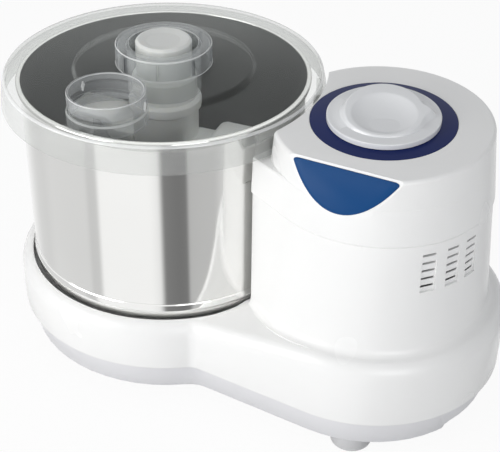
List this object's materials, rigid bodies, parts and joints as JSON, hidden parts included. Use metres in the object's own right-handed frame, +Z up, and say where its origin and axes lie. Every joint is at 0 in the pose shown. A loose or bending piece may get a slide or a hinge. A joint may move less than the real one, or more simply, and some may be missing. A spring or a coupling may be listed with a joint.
{
  "type": "wet grinder",
  "caption": "Table-top wet grinder with a belt-driven steel drum, conical stones on a holder, clear lid and feed chute, and a motor tower with a timer knob.",
  "frame": {"origin": "on the table, under the middle of the grinder's bounding box", "axes": "+X from the drum to the motor tower, the front at -Y, +Z up"},
  "size_m": [0.4444, 0.272, 0.28],
  "materials": {
    "white_body": "glossy moulded",
    "grey_tray": "satin moulded",
    "rubber": "matt",
    "blue_badge": "glossy, bare",
    "navy_ring": "glossy",
    "white_knob": "glossy moulded",
    "steel": "mirror-polished stainless steel",
    "bright_steel": "machined",
    "stone": null,
    "clear_plastic": "clear moulded plastic",
    "milky_plastic": "milky translucent",
    "black_plastic": "matt moulded",
    "cast_aluminium": "as cast",
    "copper": "enamelled copper windings",
    "screw_steel": "plated"
  },
  "bodies": {
    "base": {"body_housing": "white_body", "base_tray": "grey_tray", "top_cover": "white_body", "badge_plate": "blue_badge", "dial_ring": "navy_ring", "timer_module": "black_plastic", "cord_gland": "black_plastic", "rubber_foot_1": "rubber", "rubber_foot_2": "rubber", "rubber_foot_3": "rubber", "rubber_foot_4": "rubber", "foot_screw_1": "screw_steel", "foot_screw_2": "screw_steel", "foot_screw_3": "screw_steel", "foot_screw_4": "screw_steel", "case_screw_1": "screw_steel", "case_screw_2": "screw_steel", "case_screw_3": "screw_steel", "case_screw_4": "screw_steel", "bearing_housing": "cast_aluminium", "lower_bearing": "bright_steel", "upper_bearing": "bright_steel", "drive_belt": "rubber", "motor_plate": "bright_steel", "lower_motor_bracket": "cast_aluminium", "upper_motor_bracket": "cast_aluminium", "stator_core": "bright_steel", "upper_winding": "copper", "lower_winding": "copper", "lower_motor_bearing": "bright_steel", "upper_motor_bearing": "bright_steel", "motor_capacitor": "white_knob", "roller_holder": "milky_plastic", "hub_bush": "milky_plastic", "scraper_blade": "milky_plastic", "axle_pin_1": "bright_steel", "axle_pin_2": "bright_steel", "thrust_washer_1": "milky_plastic", "thrust_washer_2": "milky_plastic"},
    "drum": {"drum_shell": "steel", "stone_floor": "stone", "centre_post": "steel", "drum_coupling": "black_plastic", "drive_coupler": "cast_aluminium", "spindle_shaft": "bright_steel", "driven_pulley": "cast_aluminium"},
    "motor_rotor": {"rotor_core": "bright_steel", "motor_shaft": "bright_steel", "motor_pulley": "cast_aluminium", "cooling_fan": "black_plastic"},
    "roller_1": {"roller_stone_1": "stone", "roller_bush_1": "milky_plastic"},
    "roller_2": {"roller_stone_2": "stone", "roller_bush_2": "milky_plastic"},
    "timer": {"timer_knob": "white_knob", "timer_shaft": "bright_steel"},
    "lock": {"lock_knob": "milky_plastic"},
    "lid": {"drum_lid": "clear_plastic"}
  },
  "joints": [
    {"name": "drum_spin", "type": "hinge", "parent": "base", "child": "drum", "pos_m": [-0.08625, 0, 0.08], "axis": [0, 0, 1], "continuous": true},
    {"name": "motor_spin", "type": "hinge", "parent": "base", "child": "motor_rotor", "pos_m": [0.10875, 0, 0.06], "axis": [0, 0, 1], "continuous": true},
    {"name": "roller_1_spin", "type": "hinge", "parent": "base", "child": "roller_1", "pos_m": [-0.08625, 0, 0.1], "axis": [0.8966, 0.0627, 0.4384], "continuous": true},
    {"name": "roller_2_spin", "type": "hinge", "parent": "base", "child": "roller_2", "pos_m": [-0.08625, 0, 0.1], "axis": [-0.8966, -0.0627, 0.4384], "continuous": true},
    {"name": "timer_turn", "type": "hinge", "parent": "base", "child": "timer", "pos_m": [0.10875, 0, 0.254], "axis": [0, -0.0506, 0.9987], "range_deg": [-320, 0]},
    {"name": "lock_turn", "type": "hinge", "parent": "base", "child": "lock", "pos_m": [-0.08625, 0, 0.27], "axis": [0, 0, 1], "range_deg": [0, 90]},
    {"name": "lid_lift", "type": "slide", "parent": "base", "child": "lid", "axis": [0, 0, 1], "range_m": [0, 0.15]}
  ],
  "couplings": [
    {"joint": "motor_spin", "follows": "drum_spin", "ratio": 6},
    {"joint": "roller_1_spin", "follows": "drum_spin", "ratio": 2.2812},
    {"joint": "roller_2_spin", "follows": "drum_spin", "ratio": 2.2812}
  ]
}
